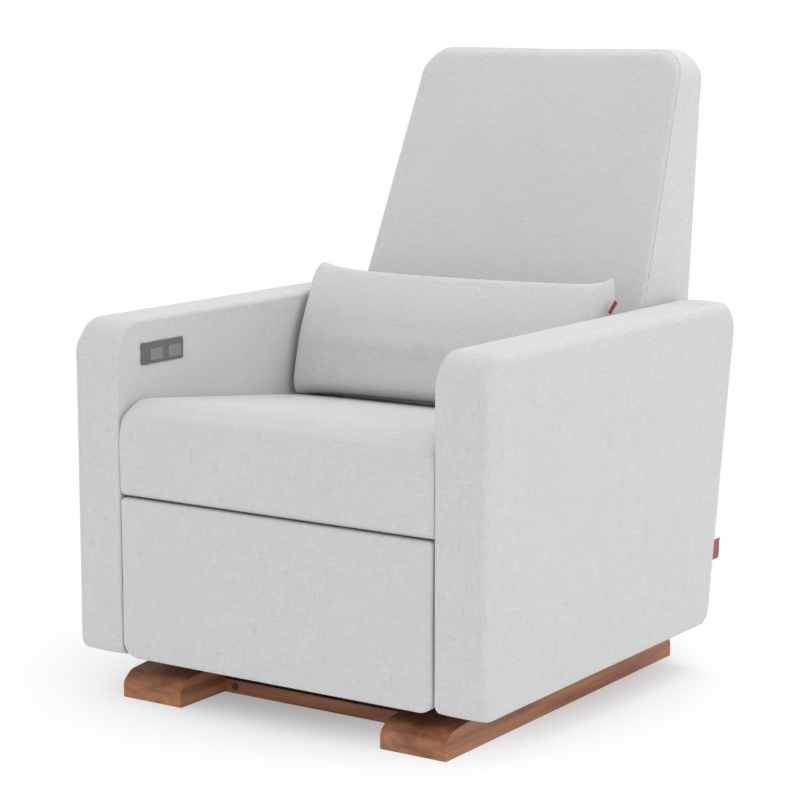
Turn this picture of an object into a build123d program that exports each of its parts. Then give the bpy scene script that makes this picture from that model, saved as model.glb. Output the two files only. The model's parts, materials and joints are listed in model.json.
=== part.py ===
"""Glider nursery chair with a power footrest, a reclining back and a loose lumbar pillow.

Millimetres. X is across the chair, Y runs from front to rear and Z is up. Every size below is
measured from the plane of the arms' front edges, and the whole chair is centred on its own
length and width when it is exported, so the origin is under its middle, on the floor.
"""
from build123d import *
import os
from math import atan2, cos, degrees, hypot, radians, sin

os.makedirs("parts", exist_ok=True)

# ---- Overall ----
WIDTH = 780.0
HEIGHT = 1040.0
ARM_THICKNESS = 90.0
INNER = WIDTH / 2 - ARM_THICKNESS   # inner face of each arm
SIDE_GAP = 2.0                      # between an arm and what moves or sits beside it
FIT = 0.05                          # radial clearance of a running pivot

# ---- Arms ----
ARM_BOTTOM = 74.0
ARM_TOP = 618.0
ARM_REAR_FOOT = 715.2               # rear edge at the arm's bottom
ARM_LEAN = 0.161                    # how far the rear edge leans back per unit of height
ARM_WALL = 14.0                     # padding and cover over the wooden arm frame
ARM_FRAME_WIDTH = 42.0

# ---- Base ----
RUNNER_INSIDE = 193.6
RUNNER_OUTSIDE = 311.4
RUNNER_FRONT = 16.0
RUNNER_REAR = 737.0
RUNNER_HEIGHT = 46.5
RAIL_WIDTH = 70.0
RAIL_HEIGHT = 22.0
FRONT_RAIL_Y = 132.0
REAR_RAIL_Y = 551.0

# ---- Glide: chair hangs from two pairs of links ----
SWING_YS = (260.0, 600.0)           # front and rear links
SWING_TOP = 190.0
SWING_BOTTOM = 85.0
SWING_PIN = 8.0
BRACKET_X = (236.0, 240.0)
SWING_X = (224.0, 229.0)
PLATFORM_X = (216.0, 220.0)
PLATFORM_TOP = 104.0
TUBE_SIDE = 25.0
TUBE_YS = (150.0, 675.0)

# ---- Seat box ----
PLATE_X = (268.0, 272.0)
SEAT_FRAME_FRONT = 40.0
SEAT_FRAME_REAR = 700.0
SEAT_RAIL_BOTTOM = 262.0
SEAT_RAIL_TOP = 338.0
CUSHION_BOTTOM = 342.0
CUSHION_CREST = 490.0
CUSHION_CREST_Y = 75.0
CUSHION_SLOPE = 0.116               # fall of the seat towards the rear
BOLTS_YZ = ((220.0, 300.0), (420.0, 300.0), (600.0, 300.0))
BOLT = 5.0

# ---- Footrest: two stages of lazy tongs on a slightly rising line ----
LINK = 205.0
FOLDED = radians(82.0)
TILT = radians(8.0)
PIVOT_Y = 118.0
PIVOT_Z = 296.0
LINK_WIDTH = 20.0
LINK_PIN = 5.0
OUTER_X = (262.0, 266.0)
CROSS_X = (256.0, 260.0)
FOOT_BRACKET_X = (250.0, 254.0)
PAD_TOP = 334.0
PAD_THICKNESS = 24.0
BOARD_THICKNESS = 12.0
TORQUE_TUBE = 10.0

# ---- Footrest drive ----
CRANK = 60.0
CRANK_START = radians(32.0)
CRANK_PIN = 4.0
TRACK_FRONT = 54.0
TRACK_Z = (195.0, 205.0)
SCREW_Z = 213.0
SCREW_RADIUS = 5.0

# ---- Backrest ----
BACK_HINGE = (680.0, 318.0)
BACK_BOTTOM = 346.0
BACK_SKIRT_BOTTOM = 318.0
BACK_SKIRT_Y = 712.0
BACK_HALF_LOW = 296.0
BACK_LOW_TOP = 480.0
BACK_HALF_TOP = 261.0

# ---- Lumbar pillow ----
PILLOW_HALF = 294.0
PILLOW_TOP = (545.0, 677.0)

# ---- Control panel on the left arm ----
PANEL_Y = (59.5, 166.0)
PANEL_Z = (542.0, 577.0)
PANEL_DEPTH = 10.0
PANEL_PROUD = 1.5
BUTTON_Z = (547.0, 567.0)
BUTTON_YS = ((81.5, 113.0), (127.5, 160.0))
PORT_YS = (78.0, 124.0)
PORT_SIZE = (5.0, 13.0)


def arm_rear(z):
    """The arm's rear edge at a height."""
    return ARM_REAR_FOOT + ARM_LEAN * (z - ARM_BOTTOM)


def back_front(z):
    """The backrest's front face at a height."""
    return 741.3 + 0.421 * (z - 800.0)


def back_rear(z):
    """The backrest's rear face at a height."""
    return 877.9 + 0.211 * (z - 800.0)


def seat_top(y):
    """The seat cushion's top at a distance from the front."""
    return CUSHION_CREST - CUSHION_SLOPE * (y - CUSHION_CREST_Y)


def block(x, y, z):
    """A box between two X, two Y and two Z values."""
    centre = Pos((x[0] + x[1]) / 2, (y[0] + y[1]) / 2, (z[0] + z[1]) / 2)
    return centre * Box(x[1] - x[0], y[1] - y[0], z[1] - z[0])


def rod_x(radius, x, centre):
    """A round bar along X through a (y, z) point."""
    return Pos((x[0] + x[1]) / 2, *centre) * Rot(0, 90, 0) * Cylinder(radius, x[1] - x[0])


def rod_y(radius, x, y, z):
    """A round bar along Y between two Y values."""
    return Pos(x, (y[0] + y[1]) / 2, z) * Rot(90, 0, 0) * Cylinder(radius, y[1] - y[0])


def outline(points, radii):
    """A closed face whose corners are rounded, one radius for each corner."""
    corners = list(points)
    return make_face(FilletPolyline(*corners, radius=list(radii), close=True))


def plate(face, x):
    """A flat (y, z) face made into a plate between two X values."""
    return extrude(Plane.YZ.offset(x[0]) * face, amount=x[1] - x[0])


def polygon_plate(points, x):
    """A plate with sharp corners."""
    return plate(make_face(Polyline(*points, close=True)), x)


def front_view(face, y):
    """A flat (x, z) face made into a solid between two Y values."""
    return extrude(Plane.XZ.offset(-y[1]) * face, amount=y[1] - y[0])


def bar(start, end, width, x):
    """A flat link with round ends between two (y, z) pivots."""
    length = hypot(end[0] - start[0], end[1] - start[1])
    turn = degrees(atan2(end[1] - start[1], end[0] - start[0]))
    middle = Pos((start[0] + end[0]) / 2, (start[1] + end[1]) / 2)
    return plate(middle * SlotCenterToCenter(length, width, rotation=turn), x)


def both_sides(right, name):
    """The right-hand piece and its mirror image, as two named pieces."""
    return {f"{name}_right": right, f"{name}_left": mirror(right, about=Plane.YZ)}


def group(solids):
    """Separate solids that share one node."""
    return Compound(list(solids))


def pair(rights):
    """Right-hand solids and their mirror images, as one list."""
    return list(rights) + [mirror(right, about=Plane.YZ) for right in rights]


# ---------------------------------------------------------------- base
def runner():
    """A flat wooden runner with softly rounded ends."""
    end = [(0.0, 0.0), (0.0, 27.0), (19.0, 42.5), (60.0, RUNNER_HEIGHT)]
    front = [(RUNNER_FRONT + y, z) for y, z in end]
    rear = [(RUNNER_REAR - y, z) for y, z in reversed(end)]
    face = outline(front + rear, (1.5, 14, 24, 30, 30, 24, 14, 1.5))
    solid = plate(face, (RUNNER_INSIDE, RUNNER_OUTSIDE))
    return solid - group(foot_screws())


def cross_rail(y):
    """A flat wooden rail between the runners."""
    solid = block((-RUNNER_INSIDE, RUNNER_INSIDE), (y, y + RAIL_WIDTH), (0, RAIL_HEIGHT))
    return solid - group(rail_bolts(y))


def foot_screws():
    """Four screws that hold one glide bracket to its runner."""
    places = [(x, y) for x in (218.0, 290.0) for y in (245.0, 615.0)]
    screws = []
    for x, y in places:
        shank = Pos(x, y, 38.0) * Cylinder(3.0, 25.0)
        head = Pos(x, y, 52.25) * Cylinder(6.5, 3.5)
        screws.append(shank + head)
    return screws


def rail_bolts(y):
    """Two bolt heads let into the front face of a cross rail."""
    return [rod_y(6.0, x, (y - 1.0, y + 9.0), RAIL_HEIGHT / 2) for x in (-172.0, 172.0)]


def base_screws():
    """Every screw and bolt of the base, as one group."""
    solids = pair(foot_screws())
    for y in (FRONT_RAIL_Y, REAR_RAIL_Y):
        solids += rail_bolts(y)
    return group(solids)


def glide_bracket():
    """A steel bracket on the runner, with an ear for each upper pivot."""
    foot = block((206.0, 302.0), (222.0, 638.0), (RUNNER_HEIGHT, 50.5))
    solid = foot + block(BRACKET_X, (225.0, 635.0), (50.5, 72.0))
    for y in SWING_YS:
        ear = [(y - 35, 50.5), (y + 35, 50.5), (y + 18, SWING_TOP), (y - 18, SWING_TOP)]
        solid += polygon_plate(ear, BRACKET_X) + rod_x(18.0, BRACKET_X, (y, SWING_TOP))
        solid -= rod_x(SWING_PIN, (230.0, 245.0), (y, SWING_TOP))
    return solid - group(foot_screws())


def upper_pin(y):
    """The shouldered pin that a swing link hangs from."""
    centre = (y, SWING_TOP)
    pin = rod_x(SWING_PIN, (222.0, BRACKET_X[1]), centre)
    head = rod_x(13.0, (BRACKET_X[1], BRACKET_X[1] + 4.0), centre)
    return pin + head + rod_x(12.0, (220.0, 223.5), centre)


def lower_pin(y):
    """The pin that carries the chair's platform on a swing link."""
    centre = (y, SWING_BOTTOM)
    pin = rod_x(SWING_PIN, (PLATFORM_X[0], 231.0), centre)
    head = rod_x(12.0, (PLATFORM_X[0] - 4.0, PLATFORM_X[0]), centre)
    return pin + head + rod_x(12.0, (229.5, 233.0), centre)


def swing_link(y, rear):
    """A link that hangs from the bracket and carries the platform."""
    solid = bar((y, SWING_TOP), (y, SWING_BOTTOM), 34.0, SWING_X)
    for z, play in ((SWING_TOP, FIT), (SWING_BOTTOM, rear)):
        solid -= rod_x(SWING_PIN + play, (220.0, 235.0), (y, z))
    return solid


def link_tube(y):
    """The tube that ties a left and a right swing link together."""
    return rod_x(8.0, (-SWING_X[0], SWING_X[0]), (y, (SWING_TOP + SWING_BOTTOM) / 2))


# ---------------------------------------------------------------- platform and seat box
def platform_rail():
    """An angle rail with the lower pivots in its web."""
    y = (145.0, SEAT_FRAME_REAR)
    solid = block(PLATFORM_X, y, (68.0, PLATFORM_TOP)) + block((200.0, 216.0), y, (100.0, PLATFORM_TOP))
    for y_pin in SWING_YS:
        solid -= rod_x(SWING_PIN, (210.0, 225.0), (y_pin, SWING_BOTTOM))
    return solid


def platform_tubes():
    """Two square tubes across the platform rails."""
    tubes = []
    half = PLATE_X[0]
    for y in TUBE_YS:
        z = PLATFORM_TOP
        outer = block((-half, half), (y, y + TUBE_SIDE), (z, z + TUBE_SIDE))
        hollow = block((-half, half), (y + 2.5, y + TUBE_SIDE - 2.5), (z + 2.5, z + TUBE_SIDE - 2.5))
        tubes.append(outer - hollow)
    return group(tubes)


def side_plate():
    """The steel plate that holds the footrest links and the back's hinge."""
    solid = block(PLATE_X, (72.0, SEAT_FRAME_REAR), (80.0, SEAT_RAIL_TOP))
    cut = (PLATE_X[0] - 1.0, PLATE_X[1] + 1.0)
    for y in ((150.0, 400.0), (560.0, 640.0)):
        window = [(y[0], 140.0), (y[1], 140.0), (y[1], 250.0), (y[0], 250.0)]
        solid -= plate(outline(window, (15, 15, 15, 15)), cut)
    high = tongs(0.0, LINK * sin(radians(17.0)))
    low = tongs(0.0, LINK * sin(FOLDED))
    solid -= bar(high, low, 2 * (LINK_PIN + 0.3), cut)
    solid -= rod_x(TORQUE_TUBE + FIT, cut, (PIVOT_Y, PIVOT_Z))
    solid -= rod_x(SWING_PIN + FIT, cut, BACK_HINGE)
    for centre in BOLTS_YZ:
        solid -= rod_x(BOLT, cut, centre)
    return solid


def seat_board():
    """The wooden side board of the seat box."""
    board = block((PLATE_X[1], INNER), (SEAT_FRAME_FRONT, SEAT_FRAME_REAR), (SEAT_RAIL_BOTTOM, SEAT_RAIL_TOP))
    for centre in BOLTS_YZ:
        board -= rod_x(BOLT, (PLATE_X[0], INNER), centre)
    return board


def seat_cross_rails():
    """The front and rear cross rails of the seat box."""
    half = PLATE_X[0]
    front = block((-half, half), (SEAT_FRAME_FRONT, 74.0), (324.0, SEAT_RAIL_TOP))
    rear = block((-half, half), (560.0, 582.0), (SEAT_RAIL_BOTTOM, SEAT_RAIL_TOP))
    return group([front, rear])


def seat_webbing():
    """Elastic straps under the cushion: cross straps below, long straps on top."""
    straps = []
    for y in (140.0, 250.0, 360.0, 470.0):
        straps.append(block((-PLATE_X[0], PLATE_X[0]), (y - 25, y + 25), (336.0, 338.0)))
    for x in (-225.0, -135.0, -45.0, 45.0, 135.0, 225.0):
        straps.append(block((x - 25, x + 25), (SEAT_FRAME_FRONT, 582.0), (338.0, 340.0)))
    return group(straps)


def seat_cushion():
    """The seat cushion, with a soft front edge and a top that falls to the rear."""
    rear_low = back_front(CUSHION_BOTTOM) - 6.0
    rear_y = back_front(436.0) - 8.0
    points = [
        (0.0, CUSHION_BOTTOM),
        (0.0, seat_top(0.0)),
        (rear_y, seat_top(rear_y)),
        (rear_low, CUSHION_BOTTOM),
    ]
    half = INNER - SIDE_GAP
    solid = plate(outline(points, (14, 55, 12, 6)), (-half, half))
    return solid


# ---------------------------------------------------------------- arms
def arm_outline(inset):
    """The arm's side view, drawn in all round by an inset."""
    low = ARM_BOTTOM + inset
    high = ARM_TOP - inset
    points = [(inset, low), (inset, high), (arm_rear(high) - inset, high), (arm_rear(low) - inset, low)]
    radii = (20.0, 62.0, 45.0, 28.0)
    return outline(points, [max(radius - inset, 4.0) for radius in radii])


def arm_frame():
    """The wooden ring with a middle post inside the arm."""
    x = (INNER + ARM_WALL, WIDTH / 2 - ARM_WALL)
    window = arm_outline(ARM_WALL + ARM_FRAME_WIDTH)
    post = plate(make_face(Polyline((380, 90), (430, 90), (430, 600), (380, 600), close=True)), x)
    low_rail = block(x, (60.0, 690.0), (270.0, 325.0))
    ring = plate(arm_outline(ARM_WALL), x) - plate(window, x)
    solid = (ring + post + low_rail) & plate(arm_outline(ARM_WALL), x)
    for centre in BOLTS_YZ:
        solid -= rod_x(BOLT, (INNER, 346.0), centre)
    return solid


def arm_cover():
    """The padded cover of an arm, hollow for its wooden frame."""
    outside = plate(arm_outline(0.0), (INNER, WIDTH / 2))
    outside = fillet(outside.faces().filter_by(Axis.X).edges(), 9.0)
    solid = outside - plate(arm_outline(ARM_WALL), (INNER + ARM_WALL, WIDTH / 2 - ARM_WALL))
    for centre in BOLTS_YZ:
        solid -= rod_x(BOLT, (INNER - 1.0, 346.0), centre)
    return solid


def arm_bolts():
    """The bolts that join each arm to the seat box."""
    bolts = []
    for centre in BOLTS_YZ:
        bolts.append(rod_x(BOLT, (PLATE_X[0], 345.0), centre) + rod_x(9.0, (264.0, PLATE_X[0]), centre))
    return group(pair(bolts))


def arm_tab():
    """A plain woven tab sewn into the right arm's rear seam."""
    low, high = 185.0, 219.0
    points = [(arm_rear(low), low), (arm_rear(high), high), (arm_rear(high) + 16, high), (arm_rear(low) + 16, low)]
    return polygon_plate(points, (377.0, 378.5))


def rear_panel():
    """The covered panel that closes the chair behind, between the arms."""
    low, high = 82.0, 262.0
    outer = 2.0
    inner = 14.0
    points = [(arm_rear(low) - inner, low), (arm_rear(low) - outer, low)]
    points += [(arm_rear(high) - outer, high), (arm_rear(high) - inner, high)]
    return polygon_plate(points, (-INNER, INNER)) - power_inlet_block()


def power_inlet_block():
    """The space that the power inlet takes in the rear panel."""
    return block((-232.0, -204.0), (703.0, 730.0), (150.0, 170.0))


def power_inlet():
    """The low-voltage inlet with its round socket."""
    return power_inlet_block() - rod_y(4.0, -218.0, (712.0, 731.0), 160.0)


# ---------------------------------------------------------------- control panel
def control_bezel():
    """The control panel's surround, with openings for two ports and two buttons."""
    x = (-INNER - PANEL_DEPTH, -INNER + PANEL_PROUD)
    solid = block(x, PANEL_Y, PANEL_Z)
    solid = fillet(solid.edges().filter_by(Axis.X), 2.5)
    for y in BUTTON_YS:
        solid -= block((-INNER - PANEL_DEPTH + 2.0, 0.0), (y[0] - 0.3, y[1] + 0.3), (BUTTON_Z[0] - 0.3, BUTTON_Z[1] + 0.3))
    for port in port_blocks():
        solid -= port
    return solid


def bezel_pocket():
    """The space that the control panel takes in the left arm's cover."""
    solid = block((-INNER - PANEL_DEPTH, -INNER + PANEL_PROUD), PANEL_Y, PANEL_Z)
    return fillet(solid.edges().filter_by(Axis.X), 2.5)


def port_blocks():
    """Two charging ports as plain blocks."""
    z = (PANEL_Z[0] + PANEL_Z[1]) / 2
    blocks = []
    for y in PORT_YS:
        y_span = (y - PORT_SIZE[0] / 2, y + PORT_SIZE[0] / 2)
        z_span = (z - PORT_SIZE[1] / 2, z + PORT_SIZE[1] / 2)
        blocks.append(block((-INNER - 8.0, -INNER + PANEL_PROUD - 0.5), y_span, z_span))
    return blocks


def charging_ports():
    """The charging ports, each with its slot."""
    ports = []
    z = (PANEL_Z[0] + PANEL_Z[1]) / 2
    for y, port in zip(PORT_YS, port_blocks()):
        ports.append(port - block((-INNER - 6.0, 0.0), (y - 1.2, y + 1.2), (z - 5.0, z + 5.0)))
    return group(ports)


def button(y):
    """A push button that travels towards the arm."""
    solid = block((-INNER - 5.0, -INNER + PANEL_PROUD + 0.5), y, BUTTON_Z)
    return fillet(solid.edges().filter_by(Axis.X), 1.5)


def control_box():
    """The power supply's control box on the left side plate."""
    return block((-PLATE_X[0], -232.0), (415.0, 545.0), (216.0, 256.0))


# ---------------------------------------------------------------- footrest
def tongs(reach, drop):
    """A (y, z) point of the tongs: reach along the rising line, drop across it."""
    y = PIVOT_Y - reach * cos(TILT) - drop * sin(TILT)
    z = PIVOT_Z + reach * sin(TILT) - drop * cos(TILT)
    return (y, z)


REACH = LINK * cos(FOLDED)
DROP = LINK * sin(FOLDED)
OUTER_TIP = tongs(REACH, DROP)
CROSS_FOOT = tongs(0.0, DROP)
CROSS_TIP = tongs(REACH, 0.0)
FIRST_CROSSING = tongs(REACH / 2, DROP / 2)
SECOND_CROSSING = tongs(1.5 * REACH, DROP / 2)
CARRIER_TIP = tongs(2 * REACH, 0.0)
PIN_SPAN = (254.5, OUTER_X[0])


def outer_link():
    """The driven link: fixed on the torque tube, with a pin at its middle and its tip."""
    solid = bar((PIVOT_Y, PIVOT_Z), OUTER_TIP, LINK_WIDTH, OUTER_X)
    solid += rod_x(17.0, OUTER_X, (PIVOT_Y, PIVOT_Z))
    solid -= rod_x(TORQUE_TUBE, (250.0, 270.0), (PIVOT_Y, PIVOT_Z))
    return solid + rod_x(LINK_PIN, PIN_SPAN, FIRST_CROSSING) + rod_x(LINK_PIN, PIN_SPAN, OUTER_TIP)


def cross_link():
    """The link that crosses the driven link; its foot pin slides in the side plate's slot."""
    solid = bar(CROSS_FOOT, CROSS_TIP, LINK_WIDTH, CROSS_X)
    solid -= rod_x(LINK_PIN + FIT, (250.0, 264.0), FIRST_CROSSING)
    solid += rod_x(LINK_PIN, (CROSS_X[1], PLATE_X[1]), CROSS_FOOT)
    return solid + rod_x(LINK_PIN, (CROSS_X[1], 267.0), CROSS_TIP)


def short_link():
    """The half link of the second stage, with the pin of the second crossing."""
    solid = bar(CROSS_TIP, SECOND_CROSSING, LINK_WIDTH, OUTER_X)
    solid -= rod_x(LINK_PIN + FIT, (250.0, 268.0), CROSS_TIP)
    return solid + rod_x(LINK_PIN, PIN_SPAN, SECOND_CROSSING)


def carrier_link():
    """The link that carries the footrest panel on the pin at its tip."""
    solid = bar(OUTER_TIP, CARRIER_TIP, LINK_WIDTH, CROSS_X)
    solid -= rod_x(LINK_PIN + FIT, (250.0, 264.0), OUTER_TIP)
    solid -= rod_x(LINK_PIN + 0.3, (250.0, 264.0), SECOND_CROSSING)
    return solid + rod_x(LINK_PIN, (249.0, CROSS_X[0]), CARRIER_TIP)


def footrest_bracket():
    """The steel bracket between the carrier link and the footrest board."""
    rear = PAD_THICKNESS
    points = [(rear, 226.0), (rear, 314.0), (CARRIER_TIP[0], CARRIER_TIP[1] + 11.0)]
    points += [(CARRIER_TIP[0] + 8.0, CARRIER_TIP[1] - 8.0)]
    solid = polygon_plate(points, FOOT_BRACKET_X) + rod_x(11.0, FOOT_BRACKET_X, CARRIER_TIP)
    solid += block((226.0, FOOT_BRACKET_X[1]), (rear, rear + 3.0), (226.0, 314.0))
    return solid - rod_x(LINK_PIN + FIT, (245.0, 258.0), CARRIER_TIP)


def footrest_board():
    """The plywood board behind the footrest's padding."""
    return block((-283.0, 283.0), (PAD_THICKNESS - BOARD_THICKNESS, PAD_THICKNESS), (90.0, 318.0))


def footrest_pad():
    """The padded panel that closes the chair's front and becomes the leg rest."""
    half = INNER - 3.0
    side = [(0.0, ARM_BOTTOM), (0.0, PAD_TOP), (PAD_THICKNESS, PAD_TOP), (PAD_THICKNESS, ARM_BOTTOM)]
    front = [(-half, ARM_BOTTOM), (-half, PAD_TOP), (half, PAD_TOP), (half, ARM_BOTTOM)]
    solid = plate(outline(side, (9, 7, 16, 8)), (-half, half))
    solid = solid & front_view(outline(front, (32, 8, 8, 32)), (-5.0, 30.0))
    return solid - footrest_board()


def crank_pin():
    """Where the crank's pin is when the footrest is shut."""
    return (PIVOT_Y + CRANK * sin(CRANK_START), PIVOT_Z - CRANK * cos(CRANK_START))


def torque_tube():
    """The tube that turns both driven links, with the crank at its middle."""
    centre = (PIVOT_Y, PIVOT_Z)
    solid = rod_x(TORQUE_TUBE, (-PLATE_X[1], PLATE_X[1]), centre)
    solid += rod_x(16.0, (-4.0, 4.0), centre) + bar(centre, crank_pin(), 16.0, (-4.0, 4.0))
    solid += rod_x(CRANK_PIN, (-15.0, 15.0), crank_pin())
    return solid - rod_x(7.5, (-PLATE_X[1], PLATE_X[1]), centre)


# ---------------------------------------------------------------- footrest drive
def drive_track():
    """The channel that guides the drive block, with its two posts and its end bearing."""
    channel = block((-15.0, 15.0), (TRACK_FRONT, SEAT_FRAME_REAR), TRACK_Z)
    bearing = block((-12.0, 12.0), (TRACK_FRONT, TRACK_FRONT + 10.0), (TRACK_Z[1], 222.0))
    bearing -= rod_y(SCREW_RADIUS, 0.0, (TRACK_FRONT - 1.0, TRACK_FRONT + 11.0), SCREW_Z)
    solids = [channel, bearing]
    for y in TUBE_YS:
        solids.append(block((-12.0, 12.0), (y + 2.0, y + 23.0), (PLATFORM_TOP + TUBE_SIDE, TRACK_Z[0])))
    return group(solids)


def lead_screw():
    """The screw that pushes the drive block along its track."""
    return rod_y(SCREW_RADIUS, 0.0, (TRACK_FRONT, 440.0), SCREW_Z)


def drive_motor():
    """The gearbox and the motor on the rear of the track."""
    gearbox = block((-35.0, 35.0), (440.0, 500.0), (TRACK_Z[1], 268.0))
    gearbox = fillet(gearbox.edges().filter_by(Axis.Y), 8.0)
    return gearbox + rod_y(27.0, 0.0, (500.0, 552.0), 236.0)


def drive_block():
    """The block on the lead screw, whose slotted ears push the crank's pin."""
    y, z = crank_pin()
    solid = block((-15.0, 15.0), (y - 18.0, y + 18.0), (TRACK_Z[1] + 0.4, 223.0))
    solid -= rod_y(SCREW_RADIUS + FIT, 0.0, (y - 20.0, y + 20.0), SCREW_Z)
    top = PIVOT_Z - CRANK * cos(CRANK_START)
    bottom = PIVOT_Z - CRANK
    for x in ((-14.0, -8.0), (8.0, 14.0)):
        ear = block(x, (y - 13.0, y + 13.0), (223.0, top + 14.0))
        ear -= bar((y, top + 1.0), (y, bottom - 1.0), 2 * (CRANK_PIN + 1.1), (x[0] - 1.0, x[1] + 1.0))
        solid += ear
    return solid


# ---------------------------------------------------------------- backrest and pillow
def back_shape():
    """The backrest's whole outer shape: a leaning wedge that narrows to the top."""
    low = BACK_BOTTOM
    top = HEIGHT
    side = [(back_front(low), low), (back_front(top), top), (back_rear(top), top), (back_rear(low), low)]
    half = BACK_HALF_LOW
    front = [(-half, low), (-half, BACK_LOW_TOP), (-BACK_HALF_TOP, top)]
    front += [(x * -1.0, z) for x, z in reversed(front)]
    solid = plate(outline(side, (14, 30, 22, 3)), (-half, half))
    return solid & front_view(outline(front, (10, 60, 64, 64, 60, 10)), (500.0, 960.0))


def back_skirt():
    """The covered board below the backrest's rear edge, which hides the hinge."""
    low, high = BACK_SKIRT_BOTTOM, BACK_BOTTOM
    points = [(BACK_SKIRT_Y, low), (back_rear(low), low), (back_rear(high), high), (BACK_SKIRT_Y, high)]
    return polygon_plate(points, (-BACK_HALF_LOW, BACK_HALF_LOW)) - hinge_slots()


def back_slab(x, z):
    """A leaning wooden member just inside the backrest's rear face."""
    skin = 14.0
    depth = 35.0
    points = [(back_rear(z[0]) - skin - depth, z[0]), (back_rear(z[1]) - skin - depth, z[1])]
    points += [(back_rear(z[1]) - skin, z[1]), (back_rear(z[0]) - skin, z[0])]
    return polygon_plate(points, x)


def back_frame():
    """The wooden frame inside the backrest: two uprights and three rails."""
    solid = back_slab((-262.0, 262.0), (360.0, 430.0))
    for x in ((-245.0, -205.0), (205.0, 245.0)):
        solid += back_slab(x, (430.0, 1010.0))
    for z in ((660.0, 705.0), (955.0, 1010.0)):
        solid += back_slab((-205.0, 205.0), z)
    return solid


def back_hinge_plate():
    """The steel plate that joins the back frame to the side plate's pivot."""
    y, z = BACK_HINGE
    top = 428.0
    front = back_rear(top) - 49.0
    points = [(y - 18.0, z), (front, top), (front + 30.0, top), (y + 18.0, z)]
    x = (262.0, 267.0)
    solid = polygon_plate(points, x) + rod_x(18.0, x, BACK_HINGE)
    return solid + rod_x(SWING_PIN, (x[1], PLATE_X[1]), BACK_HINGE)


def hinge_slots():
    """The space that the two hinge plates take in the backrest."""
    return group(pair([block((261.9, 267.3), (650.0, 781.0), (300.0, 428.2))]))


def back_cushion():
    """The padded cover of the backrest, hollow for its frame and hinge plates."""
    return back_shape() - back_frame() - hinge_slots()


def lumbar_pillow():
    """The lumbar pillow: flat where it stands, drawn to an edge along its top."""
    front = (482.0, seat_top(482.0) + 1.2)
    rear = (572.0, seat_top(572.0) + 1.2)
    sides = [
        ThreePointArc(front, (467.0, 552.0), PILLOW_TOP),
        ThreePointArc(PILLOW_TOP, (608.0, 548.0), rear),
        Line(rear, front),
    ]
    return plate(make_face(sides), (-PILLOW_HALF, PILLOW_HALF))


def pillow_tab():
    """A plain woven tab sewn into the pillow's right seam."""
    return block((PILLOW_HALF, PILLOW_HALF + 10.0), (538.0, 539.5), (622.0, 642.0))


# ---------------------------------------------------------------- all pieces
def base_pieces():
    """The pieces that stand still on the floor."""
    pieces = both_sides(runner(), "runner")
    pieces["cross_rail_front"] = cross_rail(FRONT_RAIL_Y)
    pieces["cross_rail_rear"] = cross_rail(REAR_RAIL_Y)
    pieces.update(both_sides(glide_bracket(), "glide_bracket"))
    pieces["upper_pivot_pins"] = group(pair([upper_pin(y) for y in SWING_YS]))
    pieces["base_screws"] = base_screws()
    return pieces


def glide_pieces():
    """The swing links and the tubes that tie them."""
    pieces = {}
    for place, y, play in (("front", SWING_YS[0], FIT), ("rear", SWING_YS[1], 0.1)):
        pieces.update(both_sides(swing_link(y, play), f"swing_link_{place}"))
        pieces[f"link_tube_{place}"] = link_tube(y)
    return pieces


def seat_pieces():
    """The gliding platform, the seat box, the arms and the drive's fixed pieces."""
    pieces = both_sides(platform_rail(), "platform_rail")
    pieces["platform_tubes"] = platform_tubes()
    pieces["lower_pivot_pins"] = group(pair([lower_pin(y) for y in SWING_YS]))
    pieces.update(both_sides(side_plate(), "side_plate"))
    pieces.update(both_sides(seat_board(), "seat_board"))
    pieces["seat_cross_rails"] = seat_cross_rails()
    pieces["seat_webbing"] = seat_webbing()
    pieces["seat_cushion"] = seat_cushion()
    pieces.update(both_sides(arm_frame(), "arm_frame"))
    covers = both_sides(arm_cover(), "arm_cover")
    covers["arm_cover_left"] = covers["arm_cover_left"] - bezel_pocket()
    pieces.update(covers)
    pieces["arm_bolts"] = arm_bolts()
    pieces["arm_tab"] = arm_tab()
    pieces["rear_panel"] = rear_panel()
    pieces["power_inlet"] = power_inlet()
    pieces["control_bezel"] = control_bezel()
    pieces["charging_ports"] = charging_ports()
    pieces["control_box"] = control_box()
    pieces["drive_track"] = drive_track()
    pieces["lead_screw"] = lead_screw()
    pieces["drive_motor"] = drive_motor()
    return pieces


def footrest_pieces():
    """Everything that opens the footrest."""
    pieces = both_sides(outer_link(), "outer_link")
    pieces.update(both_sides(cross_link(), "cross_link"))
    pieces.update(both_sides(short_link(), "short_link"))
    pieces.update(both_sides(carrier_link(), "carrier_link"))
    pieces["torque_tube"] = torque_tube()
    pieces["drive_block"] = drive_block()
    pieces["footrest_brackets"] = group(pair([footrest_bracket()]))
    pieces["footrest_board"] = footrest_board()
    pieces["footrest_pad"] = footrest_pad()
    return pieces


def upper_pieces():
    """The buttons, the backrest and the pillow."""
    return {
        "button_front": button(BUTTON_YS[0]),
        "button_rear": button(BUTTON_YS[1]),
        "back_frame": back_frame(),
        "back_hinge_plates": group(pair([back_hinge_plate()])),
        "back_cushion": back_cushion(),
        "back_skirt": back_skirt(),
        "lumbar_pillow": lumbar_pillow(),
        "pillow_tab": pillow_tab(),
    }


def main():
    """Build every piece, centre the chair on the origin and write one file for each piece."""
    pieces = {}
    for make in (base_pieces, glide_pieces, seat_pieces, footrest_pieces, upper_pieces):
        pieces.update(make())
    rear = pieces["back_cushion"].bounding_box().max.Y
    print(f"{len(pieces)} pieces, overall depth {rear:.3f}")
    for name, piece in pieces.items():
        export_step(Pos(0, -rear / 2, 0) * piece, f"parts/{name}.step")


main()
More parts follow.
